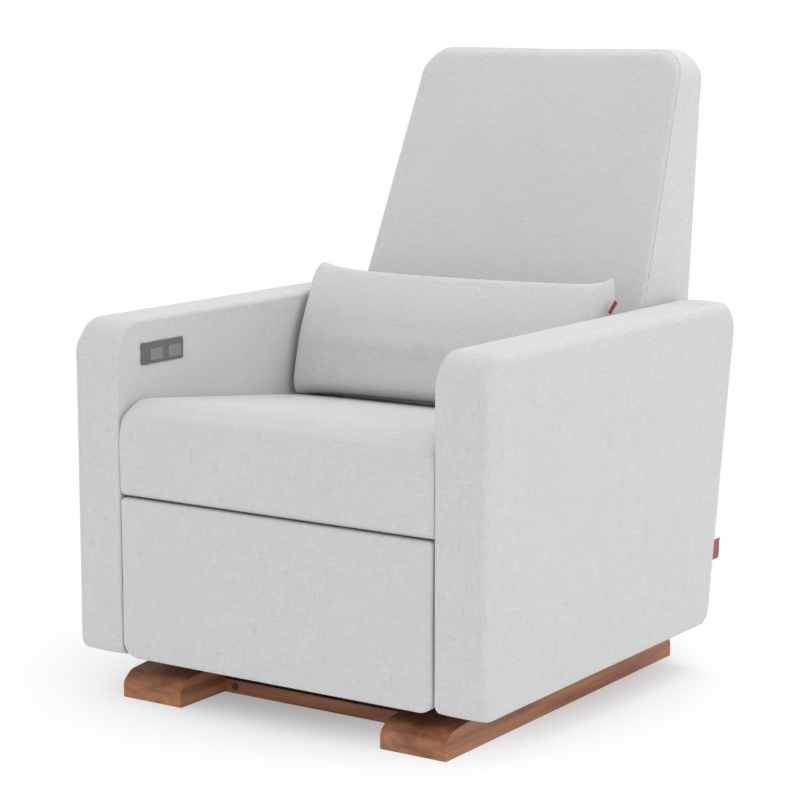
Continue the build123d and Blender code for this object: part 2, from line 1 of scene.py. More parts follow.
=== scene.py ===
"""The looks of the glider nursery chair: upholstery, wood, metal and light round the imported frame."""
import json
from math import cos, pi, radians, sin
import bmesh
import bpy
import numpy as np
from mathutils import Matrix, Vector


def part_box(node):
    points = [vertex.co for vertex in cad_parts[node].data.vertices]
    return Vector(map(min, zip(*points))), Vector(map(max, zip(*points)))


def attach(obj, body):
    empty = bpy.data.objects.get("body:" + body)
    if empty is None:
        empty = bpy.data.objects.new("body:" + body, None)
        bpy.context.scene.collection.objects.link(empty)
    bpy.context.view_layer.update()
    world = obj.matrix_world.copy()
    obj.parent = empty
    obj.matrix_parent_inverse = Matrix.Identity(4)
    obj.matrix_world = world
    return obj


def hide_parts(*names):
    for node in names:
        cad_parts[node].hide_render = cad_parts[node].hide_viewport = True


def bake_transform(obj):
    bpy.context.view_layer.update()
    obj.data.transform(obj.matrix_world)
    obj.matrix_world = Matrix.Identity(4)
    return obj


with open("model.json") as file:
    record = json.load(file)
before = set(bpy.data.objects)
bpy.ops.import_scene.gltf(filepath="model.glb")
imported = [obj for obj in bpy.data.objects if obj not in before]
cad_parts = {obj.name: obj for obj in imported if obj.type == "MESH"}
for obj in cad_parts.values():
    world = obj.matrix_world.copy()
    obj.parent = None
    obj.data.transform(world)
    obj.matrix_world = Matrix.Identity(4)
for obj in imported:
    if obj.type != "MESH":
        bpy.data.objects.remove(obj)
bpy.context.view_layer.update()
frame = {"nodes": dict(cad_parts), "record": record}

ARM_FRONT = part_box("arm_cover_right")[0].y    # plane of the arms' front edges; places below count from it
ARM_FOOT = 0.074                               # height of the arms' lower edge
ARM_REAR_FOOT, ARM_LEAN = 0.7230, 0.161       # the arms' rear edge at their foot, and its lean
BACK_FRONT, BACK_FRONT_LEAN = 0.7413, 0.421   # the backrest's front face at BACK_LEVEL, and its lean
BACK_REAR, BACK_REAR_LEAN = 0.8779, 0.211     # the backrest's rear face there, and its lean
BACK_LEVEL = 0.8
SEAT_SLOPE = 0.127                             # how the seat's top falls towards the back
SEAT_HEM = 0.0035                              # how far the seat cushion's front hangs below its board
HEM = 0.0015                                   # how far the fabric hangs below the arms and the footrest
PILLOW_FOOT, PILLOW_LEAN = 0.504, 0.215       # the pillow's seam plane at PILLOW_LEVEL, and its lean
PILLOW_LEVEL = 0.437
PILLOW_HALF_WIDTH, PILLOW_HALF_DEPTH = 0.308, 0.060
RING_POINTS = 400                              # points round the outline of a padded piece
CLOTH_FRAMES = 14                              # frames of a cloth pass, and the cloth's stiffness below
CLOTH_STRETCH, CLOTH_BEND = 15.0, 0.5
THREADS = 430.0                                # scale of the upholstery's weave
TAB_THICK = 0.0011


# ------------------------------------------------------------------ outlines
def corner_arc(before, corner, after, radius):
    """The points of one rounded corner of an outline."""
    to_a, to_b = before - corner, after - corner
    to_a, to_b = to_a / np.linalg.norm(to_a), to_b / np.linalg.norm(to_b)
    half = np.arccos(np.clip(to_a @ to_b, -1, 1)) / 2
    centre = corner + (to_a + to_b) / np.linalg.norm(to_a + to_b) * radius / sin(half)
    start, end = (corner + to * radius / np.tan(half) - centre for to in (to_a, to_b))
    points = []
    for share in np.linspace(0, 1, 16):
        towards = start + (end - start) * share
        points.append(centre + towards / np.linalg.norm(towards) * radius)
    return points


def outline(corners, count):
    """A closed anticlockwise outline through rounded corners (u, v, radius), evenly spaced."""
    places = [np.array(corner[:2], float) for corner in corners]
    points = []
    for k, corner in enumerate(corners):
        points += corner_arc(places[k - 1], places[k], places[(k + 1) % len(places)], corner[2])
    loop = np.array(points + points[:1])
    run = np.concatenate([[0], np.cumsum(np.linalg.norm(np.diff(loop, axis=0), axis=1))])
    spots = np.linspace(0, run[-1], count, endpoint=False)
    return np.stack([np.interp(spots, run, loop[:, k]) for k in (0, 1)], axis=1)


def outward(points):
    """Unit normals of an anticlockwise outline."""
    along = np.roll(points, -1, axis=0) - np.roll(points, 1, axis=0)
    normal = np.stack([along[:, 1], -along[:, 0]], axis=1)
    return normal / np.linalg.norm(normal, axis=1, keepdims=True)


# ------------------------------------------------------------------ padded slabs
class Slab:
    """A padded slab: an outline in (u, v), with a thickness w, rounded edges and crowned faces.

    A station runs from 0 at the middle of the near face, over its edge at 1 to 2, along the wall
    to 3, over the far edge to 4 and to the middle of the far face at 5."""

    def __init__(self, points, near, far, radii, crown=(0.0, 0.0), bulge=0.0):
        self.points, self.normal = points, outward(points)
        self.radii = [np.broadcast_to(radius, len(points))[:, None] for radius in radii]
        self.near, self.far = near(points), far(points)
        self.faces = near, far
        self.crown, self.bulge = crown, bulge
        self.sign = np.sign(np.mean(self.far - self.near))
        self.centre = points.mean(axis=0)
        self.middle = (points.max(axis=0) + points.min(axis=0)) / 2
        self.reach = (points.max(axis=0) - points.min(axis=0)) / 2

    def ring(self, station):
        """The points of one ring, and the direction outwards there."""
        side = 0 if station < 2.5 else 1
        place = station if side == 0 else 5 - station
        radius, out = self.radii[side], -self.sign if side == 0 else self.sign
        turn = pi / 2 * np.clip(2 - place, 0, 1)
        inset, depth = radius * (1 - cos(turn)), radius * (1 - sin(turn))
        flat = self.points - self.normal * inset
        if place < 1:
            flat = self.centre + (flat - self.centre) * place
        face = self.faces[side](flat)
        w = face - out * depth[:, 0]
        if place < 1:
            across = np.abs(flat - self.middle) / self.reach
            w = w + out * self.crown[side] * np.prod(1 - np.clip(across, 0, 1) ** 4, axis=1)
        if 2 < station < 3:
            t = station - 2
            deep = self.radii[0][:, 0], self.radii[1][:, 0]
            w = (self.near + self.sign * deep[0]) * (1 - t) + (self.far - self.sign * deep[1]) * t
            flat = flat + self.normal * self.bulge * sin(pi * t)
        normal = np.concatenate([self.normal * cos(turn), np.full((len(flat), 1), out * sin(turn))], axis=1)
        return np.concatenate([flat, w[:, None]], axis=1), normal

    def grid(self, stations):
        """Rings of points at some stations, and their directions."""
        rings, normals = zip(*(self.ring(station) for station in stations))
        return np.array(rings), np.array(normals)

    def travel(self, stations):
        """How far along the section each station is, from the first one."""
        rings = self.grid(stations)[0]
        steps = np.linalg.norm(np.diff(rings, axis=0), axis=2).mean(axis=1)
        return np.concatenate([[0], np.cumsum(steps)])


COARSE = [*np.linspace(0.08, 1, 12), 1.33, 1.67, *np.linspace(2, 3, 7)]
COARSE += [3.33, 3.67, *np.linspace(4, 4.92, 12)]
FINE = [*np.linspace(0.04, 1, 26), *np.linspace(1.1, 1.9, 9), *np.linspace(2, 3, 15)]
FINE += [*np.linspace(3.1, 3.9, 9), *np.linspace(4, 4.96, 26)]
SEAM_STEPS = [k * 0.0009 for k in (-6, -4, -3, -2, -1, 0, 1, 2, 3, 4, 6)]


def ring_faces(rings, count):
    """Quads between neighbouring rings, and triangles round a middle point at each end."""
    faces = []
    for k in range(rings - 1):
        for i in range(count):
            j = (i + 1) % count
            faces.append((k * count + i, k * count + j, (k + 1) * count + j, (k + 1) * count + i))
    first, last = rings * count, rings * count + 1
    for i in range(count):
        j = (i + 1) % count
        faces.append((first, j, i))
        faces.append((last, last - 1 - count + i, last - 1 - count + j))
    return faces


def with_middles(grid):
    """A grid of rings as one list of points, with the middle of each end ring last."""
    return np.concatenate([grid.reshape(-1, 3), grid[:1].mean(axis=1), grid[-1:].mean(axis=1)])


def padded(name, slab, order, fit, seams=(), groove=0.0009, seam_shade=1.0, pressure=3.0, cap=0.004):
    """A mesh object from a slab: softened by a cloth pass, with its seams drawn in afterwards.

    order says which of (u, v, w) is x, y and z, and fit moves the points clear of the piece's
    neighbours. seams lists the seams' stations, groove is their depth and seam_shade how much painted shade
    darkens their grooves.
    pressure blows the cloth up, and cap is how far it may move."""
    count = len(slab.points)
    rough = slab.grid(COARSE)[0][:, :, order]
    moved = np.zeros_like(rough)
    soft = inflate(with_middles(rough), ring_faces(len(COARSE), count), pressure)
    moved = soft_cap(soft[:-2].reshape(rough.shape) - rough, cap)
    even = np.linspace(0.04, 4.96, 400)
    travel = slab.travel(even)
    stations = set(FINE)
    for seam in seams:
        middle = np.interp(seam, even, travel)
        stations |= {float(np.interp(middle + step, travel, even)) for step in SEAM_STEPS}
    stations = sorted(stations)
    fine, normal = slab.grid(stations)
    fine, normal = fine[:, :, order], normal[:, :, order]
    at = np.interp(stations, COARSE, np.arange(len(COARSE)))
    low = np.minimum(at.astype(int), len(COARSE) - 2)
    part = (at - low)[:, None, None]
    fine = fine + moved[low] * (1 - part) + moved[low + 1] * part
    fine = fit(fine)
    mark = np.zeros(len(stations))
    for seam in seams:
        off = np.interp(stations, even, travel) - np.interp(seam, even, travel)
        mark += np.exp(-(off / 0.0014) ** 2)
    fine = fine - normal * (groove * mark)[:, None, None]
    piece = mesh_object(name, with_middles(fine), ring_faces(len(stations), count))
    # the seam attribute holds how much painted shade each seam groove gets
    marks = piece.data.attributes.new("seam", "FLOAT", "POINT")
    marks.data.foreach_set("value", [*np.repeat(mark * seam_shade, count), 0, 0])
    return piece


def soft_cap(moved, cap):
    """A field of displacements on rings, evened out and scaled down so that it stays under a cap."""
    for _ in range(3):
        moved = (np.roll(moved, 1, axis=1) + 2 * moved + np.roll(moved, -1, axis=1)) / 4
        between = (moved[:-2] + 2 * moved[1:-1] + moved[2:]) / 4
        moved = np.concatenate([moved[:1], between, moved[-1:]])
    size = np.linalg.norm(moved, axis=-1).max()
    return moved * min(1.0, cap / max(size, 1e-9))


def inflate(points, faces, pressure):
    """Where the points of a closed cloth go when it is blown up a little."""
    piece = mesh_object("simulated", points, faces)
    cloth = piece.modifiers.new("cloth", "CLOTH")
    settings = cloth.settings
    settings.use_pressure = True
    settings.uniform_pressure_force = pressure
    settings.tension_stiffness = settings.compression_stiffness = CLOTH_STRETCH
    settings.bending_stiffness = CLOTH_BEND
    settings.effector_weights.gravity = 0.0
    cloth.collision_settings.use_collision = False
    cloth.collision_settings.use_self_collision = False
    cloth.point_cache.frame_start = 1
    cloth.point_cache.frame_end = CLOTH_FRAMES
    scene = bpy.context.scene
    for step in range(1, CLOTH_FRAMES + 1):
        scene.frame_set(step)
    posed = piece.evaluated_get(bpy.context.evaluated_depsgraph_get())
    found = np.empty(len(posed.data.vertices) * 3)
    posed.data.vertices.foreach_get("co", found)
    discard(piece)
    scene.frame_set(1)
    return found.reshape(-1, 3)


def mesh_object(name, points, faces):
    """A smooth mesh object from points and faces, every face turned outwards."""
    mesh = bpy.data.meshes.new(name)
    mesh.from_pydata([tuple(point) for point in points], [], faces)
    shell = bmesh.new()
    shell.from_mesh(mesh)
    bmesh.ops.recalc_face_normals(shell, faces=shell.faces)
    shell.to_mesh(mesh)
    shell.free()
    mesh.polygons.foreach_set("use_smooth", [True] * len(mesh.polygons))
    mesh.update()
    piece = bpy.data.objects.new(name, mesh)
    bpy.context.scene.collection.objects.link(piece)
    return piece


def discard(piece):
    """Remove a piece that was only needed for a while."""
    mesh = piece.data
    bpy.data.objects.remove(piece)
    bpy.data.meshes.remove(mesh)


def apply_modifiers(piece):
    """Replace a piece's mesh with what its modifiers make of it."""
    posed = piece.evaluated_get(bpy.context.evaluated_depsgraph_get())
    mesh = bpy.data.meshes.new_from_object(posed)
    piece.modifiers.clear()
    piece.data = mesh


def quads(columns, rows, first=0):
    """The quads of a grid of points whose numbers start at first."""
    wide = columns + 1
    starts = [first + j * wide + i for j in range(rows) for i in range(columns)]
    return [(a, a + 1, a + wide + 1, a + wide) for a in starts]


def level(value):
    """A flat face of a slab."""
    return lambda points: np.full(len(points), value)


def leaning(foot, lean, base=0.0):
    """A face of a slab that leans with its second coordinate."""
    return lambda points: foot + lean * (points[:, 1] - base)


YZ = [2, 0, 1]      # a slab whose outline is a side view
XZ = [0, 2, 1]      # a slab whose outline is a front view


# ------------------------------------------------------------------ materials
class Nodes:
    """A small helper that adds shader nodes and links them."""

    def __init__(self, name):
        self.material = bpy.data.materials.new(name)
        self.material.use_nodes = True
        self.tree = self.material.node_tree
        self.tree.nodes.clear()
        self.output = self.tree.nodes.new("ShaderNodeOutputMaterial")
        self.shader = self.tree.nodes.new("ShaderNodeBsdfPrincipled")
        self.tree.links.new(self.shader.outputs[0], self.output.inputs[0])

    def add(self, kind, inputs=(), **settings):
        node = self.tree.nodes.new("ShaderNode" + kind)
        for key, value in settings.items():
            setattr(node, key, value)
        for key, value in dict(inputs).items():
            if isinstance(value, bpy.types.NodeSocket):
                self.tree.links.new(value, node.inputs[key])
            else:
                node.inputs[key].default_value = value
        return node

    def place(self, scale=(1, 1, 1)):
        """Object coordinates, in metres, stretched by a scale."""
        where = self.add("TexCoord").outputs["Object"]
        return self.add("Mapping", {"Vector": where, "Scale": scale}).outputs[0]

    def noise(self, scale, detail=2.0, stretch=(1, 1, 1), rough=0.5):
        inputs = {"Vector": self.place(stretch), "Scale": scale, "Detail": detail, "Roughness": rough}
        return self.add("TexNoise", inputs).outputs["Fac"]

    def math(self, operation, a, b=0.0):
        return self.add("Math", {0: a, 1: b}, operation=operation).outputs[0]

    def ramp(self, factor, stops):
        node = self.add("ValToRGB", {"Fac": factor})
        while len(node.color_ramp.elements) < len(stops):
            node.color_ramp.elements.new(0.5)
        for element, (place, colour) in zip(node.color_ramp.elements, stops):
            element.position = place
            element.color = (*colour, 1)
        return node.outputs[0]

    def finish(self, colour, roughness, height, distance, **fixed):
        for key, value in fixed.items():
            self.shader.inputs[key.replace("_", " ")].default_value = value
        for key, value in (("Base Color", colour), ("Roughness", roughness)):
            if isinstance(value, bpy.types.NodeSocket):
                self.tree.links.new(value, self.shader.inputs[key])
            else:
                self.shader.inputs[key].default_value = value
        bump = self.add("Bump", {"Height": height, "Distance": distance, "Strength": 1.0})
        self.tree.links.new(bump.outputs[0], self.shader.inputs["Normal"])
        return self.material


def shade(colour, factor):
    """A colour made lighter or darker."""
    return tuple(c * factor for c in colour)


def upholstery():
    """A melange weave: fine threads both ways, with sparse paler and darker slubs, and painted shade in the
    seam grooves.
    """
    n = Nodes("upholstery")
    grey, deep, pale = ((value,) * 3 for value in (0.602, 0.540, 0.664))
    total, flecks = 0.0, 0.0
    for stretch in ((1, 1, 0.13), (0.13, 1, 1), (1, 0.13, 1)):
        slub = n.noise(THREADS, 1.0, stretch)
        total = n.math("ADD", total, slub)
        light = n.math("MAXIMUM", n.math("SUBTRACT", slub, 0.61), 0.0)
        dark = n.math("MAXIMUM", n.math("SUBTRACT", 0.39, slub), 0.0)
        flecks = n.math("ADD", flecks, n.math("SUBTRACT", light, dark))
    mean = n.math("MULTIPLY", total, 1 / 3)
    broad = n.math("SUBTRACT", n.noise(9.0, 2.0), 0.5)
    tone = n.math("ADD", n.math("MULTIPLY", flecks, 1.1), n.math("MULTIPLY", broad, 0.10))
    tone = n.math("ADD", tone, n.math("MULTIPLY", mean, 0.2))
    tint = n.ramp(n.math("ADD", tone, 0.40), ((0.25, deep), (0.5, grey), (0.75, pale)))
    threads = 0.0
    for axis in "XYZ":
        bands = {"Vector": n.place(), "Scale": THREADS, "Distortion": 1.2, "Detail": 1.0}
        bands["Detail Scale"] = 3.0
        wave = n.add("TexWave", bands, wave_type="BANDS", bands_direction=axis)
        threads = n.math("ADD", threads, wave.outputs["Fac"])
    height = n.math("ADD", n.math("MULTIPLY", threads, 0.2), n.math("MULTIPLY", mean, 1.6))
    # painted shade in the seam grooves: the fabric darkens towards dark grey along the seams, broken into
    # dots
    seam = n.add("Attribute", attribute_name="seam").outputs["Fac"]
    shade_dots = n.math("ADD", n.math("MULTIPLY", n.noise(260.0, 0.0), 1.6), -0.3)
    shadow = n.math("MULTIPLY", n.math("MULTIPLY", seam, shade_dots), 0.55)
    tint = n.add("Mix", {0: shadow, 6: tint, 7: (0.16, 0.16, 0.16, 1)}, data_type="RGBA").outputs[2]
    return n.finish(tint, 0.92, height, 0.00035, Sheen_Weight=0.12, Sheen_Roughness=0.5,
                    Specular_IOR_Level=0.2)


def wood(name, along, pale, dark, grain=1.0):
    """Straight-grained wood: long streaks and fine pores along one axis."""
    n = Nodes(name)
    long = [0.045 if axis == along else 1.0 if axis == "Z" else 0.4 for axis in "XYZ"]
    fine = [0.02 if axis == along else 1.0 for axis in "XYZ"]
    streaks = n.noise(55.0 * grain, 6.0, long, 0.65)
    pores = n.noise(900.0, 2.0, fine, 0.6)
    warm = n.noise(3.0, 2.0)
    mix = n.math("ADD", streaks, n.math("MULTIPLY", n.math("SUBTRACT", pores, 0.5), 0.35))
    mix = n.math("ADD", mix, n.math("MULTIPLY", n.math("SUBTRACT", warm, 0.5), 0.25))
    middle = tuple((a + b) / 2 for a, b in zip(pale, dark))
    tint = n.ramp(mix, ((0.33, dark), (0.5, middle), (0.68, pale)))
    rough = n.math("ADD", n.math("MULTIPLY", pores, 0.2), 0.30)
    return n.finish(tint, rough, pores, 0.00015, Specular_IOR_Level=0.4)


def metal(name, colour, roughness, metallic, brushed="X", marks=0.08):
    """Metal with fine brushed or cast marks along one axis."""
    n = Nodes(name)
    stretch = [0.03 if axis == brushed else 1.0 for axis in "XYZ"]
    lines = n.noise(700.0, 2.0, stretch)
    blotch = n.noise(18.0, 3.0)
    fac = n.math("ADD", n.math("MULTIPLY", lines, 0.6), n.math("MULTIPLY", blotch, 0.4))
    tint = n.ramp(fac, ((0.35, shade(colour, 1 - marks)), (0.65, shade(colour, 1 + marks))))
    rough = n.math("ADD", n.math("MULTIPLY", blotch, 0.12), roughness - 0.06)
    return n.finish(tint, rough, lines, 0.00005, Metallic=metallic)


def plastic(name, colour, roughness):
    """Moulded plastic with a fine spark-eroded grain."""
    n = Nodes(name)
    pits = n.noise(900.0, 2.0)
    scuffs = n.noise(14.0, 4.0)
    tint = n.ramp(scuffs, ((0.3, shade(colour, 0.93)), (0.7, shade(colour, 1.07))))
    rough = n.math("ADD", n.math("MULTIPLY", scuffs, 0.14), roughness - 0.07)
    return n.finish(tint, rough, pits, 0.00006)


def webbing(name, colour):
    """Elastic webbing: ribs across the strap, darker and paler in turn."""
    n = Nodes(name)
    ribs = n.add("TexWave", {"Vector": n.place(), "Scale": 110.0, "Distortion": 0.4},
                 wave_type="BANDS", bands_direction="DIAGONAL").outputs["Fac"]
    tint = n.ramp(ribs, ((0.2, shade(colour, 0.7)), (0.8, shade(colour, 1.5))))
    return n.finish(tint, 0.85, ribs, 0.0004, Sheen_Weight=0.2)


def ribbon(name, colour):
    """A woven ribbon: fine cross ribs and a soft sheen."""
    n = Nodes(name)
    ribs = n.add("TexWave", {"Vector": n.place(), "Scale": 260.0, "Distortion": 0.3},
                 wave_type="BANDS", bands_direction="Z").outputs["Fac"]
    patch = n.noise(60.0, 2.0)
    fac = n.math("ADD", n.math("MULTIPLY", ribs, 0.5), n.math("MULTIPLY", patch, 0.5))
    tint = n.ramp(fac, ((0.2, shade(colour, 0.75)), (0.8, shade(colour, 1.2))))
    return n.finish(tint, 0.7, ribs, 0.0002, Sheen_Weight=0.3)


WALNUT = ((0.41, 0.170, 0.078), (0.170, 0.058, 0.026))
MATERIALS = {
    "upholstery": upholstery(),
    "walnut": wood("walnut", "Y", *WALNUT),
    "walnut_across": wood("walnut_across", "X", *WALNUT),
    "frame_wood": wood("frame_wood", "Y", (0.72, 0.55, 0.36), (0.48, 0.33, 0.19), 0.6),
    "panel_metal": metal("panel_metal", (0.205, 0.20, 0.195), 0.42, 0.6, "Y"),
    "button_metal": metal("button_metal", (0.31, 0.295, 0.28), 0.38, 0.5, "Z"),
    "zinc_steel": metal("zinc_steel", (0.56, 0.56, 0.57), 0.34, 1.0, "X"),
    "bronze": metal("bronze", (0.11, 0.06, 0.035), 0.45, 0.6, "X", 0.15),
    "black_steel": metal("black_steel", (0.035, 0.035, 0.038), 0.48, 0.2, "Z", 0.2),
    "motor_paint": metal("motor_paint", (0.05, 0.05, 0.055), 0.4, 0.3, "X", 0.2),
    "black_plastic": plastic("black_plastic", (0.028, 0.028, 0.03), 0.5),
    "drive_plastic": plastic("drive_plastic", (0.56, 0.56, 0.53), 0.45),
    "webbing": webbing("webbing", (0.06, 0.06, 0.06)),
    "tab_fabric": ribbon("tab_fabric", (0.34, 0.026, 0.034)),
}


def paint(piece, material):
    """Give a piece one material in every slot."""
    piece.data.materials.clear()
    piece.data.materials.append(MATERIALS[material])


def paint_cad():
    """Give every CAD node the material of its slot."""
    own = {"cross_rail_front": "walnut_across", "cross_rail_rear": "walnut_across"}
    own.update({"button_front": "button_metal", "button_rear": "button_metal", "base_screws": "bronze"})
    for part in frame["record"]["subparts"]:
        node = part["node"]
        paint(frame["nodes"][node], own.get(node, part["material_slot"]))


# ------------------------------------------------------------------ placing
def smooth(share):
    """A smooth step from 0 to 1."""
    share = np.clip(share, 0, 1)
    return share * share * (3 - 2 * share)


def settle(piece, body, *nodes, slot="upholstery", fill=None):
    """Paint a new piece, tie it to its body and hide the parts it stands for."""
    paint(piece, slot)
    if body:
        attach(piece, body)
    if nodes:
        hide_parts(*nodes)
    return piece


def cut_pocket(piece, low, high):
    """Cut a box-shaped pocket into a piece."""
    corners = [(x, y, z) for x in (low[0], high[0]) for y in (low[1], high[1]) for z in (low[2], high[2])]
    sides = [(0, 1, 3, 2), (4, 6, 7, 5), (0, 4, 5, 1), (2, 3, 7, 6), (0, 2, 6, 4), (1, 5, 7, 3)]
    cutter = mesh_object("cutter", corners, sides)
    cut = piece.modifiers.new("pocket", "BOOLEAN")
    cut.operation = "DIFFERENCE"
    cut.solver = "EXACT"
    cut.object = cutter
    apply_modifiers(piece)
    discard(cutter)


# ------------------------------------------------------------------ arms
def arm_rear(z):
    """The place of the arms' rear edge at a height."""
    return ARM_FRONT + ARM_REAR_FOOT + ARM_LEAN * (z - ARM_FOOT)


def arm(side):
    """One padded arm: flat-sided, its band sewn just inside the outer face, its rear edge leaning."""
    low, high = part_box(f"arm_cover_{side}")
    rear_low = ARM_FRONT + ARM_REAR_FOOT
    rear_top = rear_low + ARM_LEAN * (high.z - low.z)
    foot = low.z - HEM
    corners = (
        (low.y, foot, 0.020), (rear_low, foot, 0.028), (rear_top, high.z, 0.038), (low.y, high.z, 0.053),
    )
    points = outline(corners, RING_POINTS)
    top = smooth((points[:, 1] - high.z + 0.055) / 0.04)
    front = smooth((low.y + 0.03 - points[:, 0]) / 0.02)
    inner, outer = (low.x, high.x) if side == "right" else (high.x, low.x)
    edges = 0.007 + 0.003 * front + 0.010 * top, 0.004 + 0.004 * top
    slab = Slab(points, level(outer), level(inner), edges, crown=(0.001, 0.0), bulge=0.0008)
    room = abs(inner)

    def fit(p):
        x = np.sign(outer) * np.maximum(np.abs(p[..., 0]), room)
        return np.stack([x, p[..., 1], p[..., 2]], axis=-1)

    # only a faint painted shade in the arm's seam groove
    piece = padded(f"arm_{side}_padded", slab, YZ, fit, seams=(2.02,), groove=0.0003, seam_shade=0.12, cap=0.0022)
    if side == "left":
        at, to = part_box("control_bezel")
        lap = 0.0015
        cut_pocket(piece, (at.x - 0.002, at.y + lap, at.z + lap), (to.x + 0.01, to.y - lap, to.z - lap))
    return settle(piece, "seat_frame", f"arm_cover_{side}", fill=0.95)


# ------------------------------------------------------------------ footrest
def footrest():
    """The footrest's padded panel, with rounded lower corners and a softly crowned face."""
    low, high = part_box("footrest_pad")
    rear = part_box("footrest_board")[1].y - 0.0015
    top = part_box("seat_cushion")[0].z - SEAT_HEM - 0.0028
    left, foot = low.x - 0.0022, low.z - HEM
    corners = ((left, foot, 0.030), (high.x, foot, 0.025), (high.x, top, 0.007), (left, top, 0.007))
    points = outline(corners, RING_POINTS)
    slab = Slab(points, level(low.y), level(rear), (0.0055, 0.004), crown=(0.001, 0.0))

    def fit(p):
        y = np.minimum(p[..., 1], rear)
        return np.stack([np.clip(p[..., 0], left, high.x + 0.0005), y, np.minimum(p[..., 2], top)], axis=-1)

    piece = padded("footrest_padded", slab, XZ, fit, cap=0.003)
    return settle(piece, "footrest", "footrest_pad", fill=0.9)


# ------------------------------------------------------------------ seat cushion
def seat_cushion():
    """The seat cushion: a deep soft front edge and a crowned top that falls to the rear."""
    low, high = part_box("seat_cushion")
    slope, crest = SEAT_SLOPE, low.y + 0.075
    brow = high.z + slope * (crest - low.y - 0.040) - 0.005
    rear_top = high.z - slope * (high.y - crest)
    hem = low.z - SEAT_HEM
    corners = (
        (low.y, hem, 0.012), (low.y + 0.035, hem, 0.010), (low.y + 0.060, low.z, 0.010),
        (high.y - 0.045, low.z, 0.012),
        (high.y, rear_top, 0.020), (low.y + 0.040, brow, 0.060),
        (low.y, brow - 0.025, 0.024),
    )
    points = outline(corners, RING_POINTS)
    edge = 0.005 + 0.010 * smooth((points[:, 1] - low.z - 0.08) / 0.06)
    wide = 0.2994
    slab = Slab(points, level(-wide), level(wide), (edge, edge))

    def fit(p):
        x, y, z = p[..., 0], p[..., 1], p[..., 2]
        across = 1 - np.abs(x / high.x) ** 2.6
        up = np.clip((z - low.z) / (high.z - low.z), 0, 1)
        into = np.clip((y - low.y) / 0.05, 0, 1)
        belly = np.exp(-((z - 0.419) / 0.04) ** 2)
        x = np.clip(x * (1 + 0.0045 * belly), -wide, wide)
        y = y - 0.003 * across * np.sin(pi * up) * smooth((low.y + 0.07 - y) / 0.05)
        rise = 0.007 * across * up ** 2 * into ** 0.5 * (1 - smooth((y - low.y - 0.2) / 0.25))
        z = np.maximum(z + rise, low.z - SEAT_HEM * smooth((low.y + 0.06 - y) / 0.025))
        return np.stack([x, y, z], axis=-1)

    piece = padded("seat_cushion_padded", slab, YZ, fit, pressure=4.0, cap=0.003)
    return settle(piece, "seat_frame", "seat_cushion", fill=0.85)


# ------------------------------------------------------------------ backrest
def backrest():
    """The tall backrest: a leaning wedge that narrows to its rounded top, with a skirt at its foot."""
    low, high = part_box("back_cushion")
    skirt_low, skirt_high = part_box("back_skirt")
    half_top, top, waist = 0.261, high.z - 0.002, 0.480
    corners = (
        (low.x, low.z, 0.018), (high.x, low.z, 0.018), (high.x, waist, 0.10),
        (half_top, top, 0.050), (-half_top, top, 0.050), (low.x, waist, 0.10),
    )
    points = outline(corners, 440)
    above = smooth((points[:, 1] - top + 0.05) / 0.04)
    near = leaning(ARM_FRONT + BACK_FRONT, BACK_FRONT_LEAN, BACK_LEVEL)
    far = leaning(ARM_FRONT + BACK_REAR, BACK_REAR_LEAN, BACK_LEVEL)
    slab = Slab(points, near, far, (0.008 + 0.007 * above, 0.012 + 0.020 * above), crown=(0.003, 0.002))

    def fit(p):
        x, y, z = p[..., 0], p[..., 1], p[..., 2]
        x = np.clip(x, low.x - 0.002, high.x + 0.002)
        drop = smooth((y - skirt_low.y + 0.02) / 0.03) * smooth((low.z + 0.05 - z) / 0.05)
        z = np.maximum(z, low.z) - (skirt_high.z - skirt_low.z) * drop
        return np.stack([x, y, z], axis=-1)

    piece = padded("backrest_padded", slab, XZ, fit, seams=(1.8, 3.3), cap=0.006)
    return settle(piece, "backrest", "back_cushion", "back_skirt", fill=0.9)


# ------------------------------------------------------------------ lumbar pillow
def pillow_plane(z):
    """The place of the pillow's seam plane at a height."""
    return ARM_FRONT + PILLOW_FOOT + PILLOW_LEAN * (z - PILLOW_LEVEL)


def pillow_grid(across, up):
    """Two layers of cloth joined at their rim: each point's place and side, and the quads."""
    places, faces, number = [], [], {}
    for side in (-1, 1):
        for j in range(up + 1):
            for i in range(across + 1):
                rim = i in (0, across) or j in (0, up)
                key = (i, j, 0 if rim else side)
                if key not in number:
                    number[key] = len(places)
                    places.append((2 * i / across - 1, 2 * j / up - 1, key[2]))
        for j in range(up):
            for i in range(across):
                quad = []
                for a, b in ((i, j), (i + 1, j), (i + 1, j + 1), (i, j + 1)):
                    rim = a in (0, across) or b in (0, up)
                    quad.append(number[(a, b, 0 if rim else side)])
                faces.append(tuple(quad))
    return np.array(places), faces


def seat_heights(x, y):
    """The height of the finished seat cushion's top under each point."""
    seat = bpy.data.objects["seat_cushion_padded"]
    heights = []
    for place in zip(x, y):
        found, spot, _, _ = seat.ray_cast((*place, 1.0), (0, 0, -1))
        heights.append(spot.z if found else 0.0)
    return np.array(heights) + 0.0004


def bunched(share):
    """Places along a side that stand closer together near its ends."""
    return np.sin(share * pi / 2) * 0.35 + share * 0.65


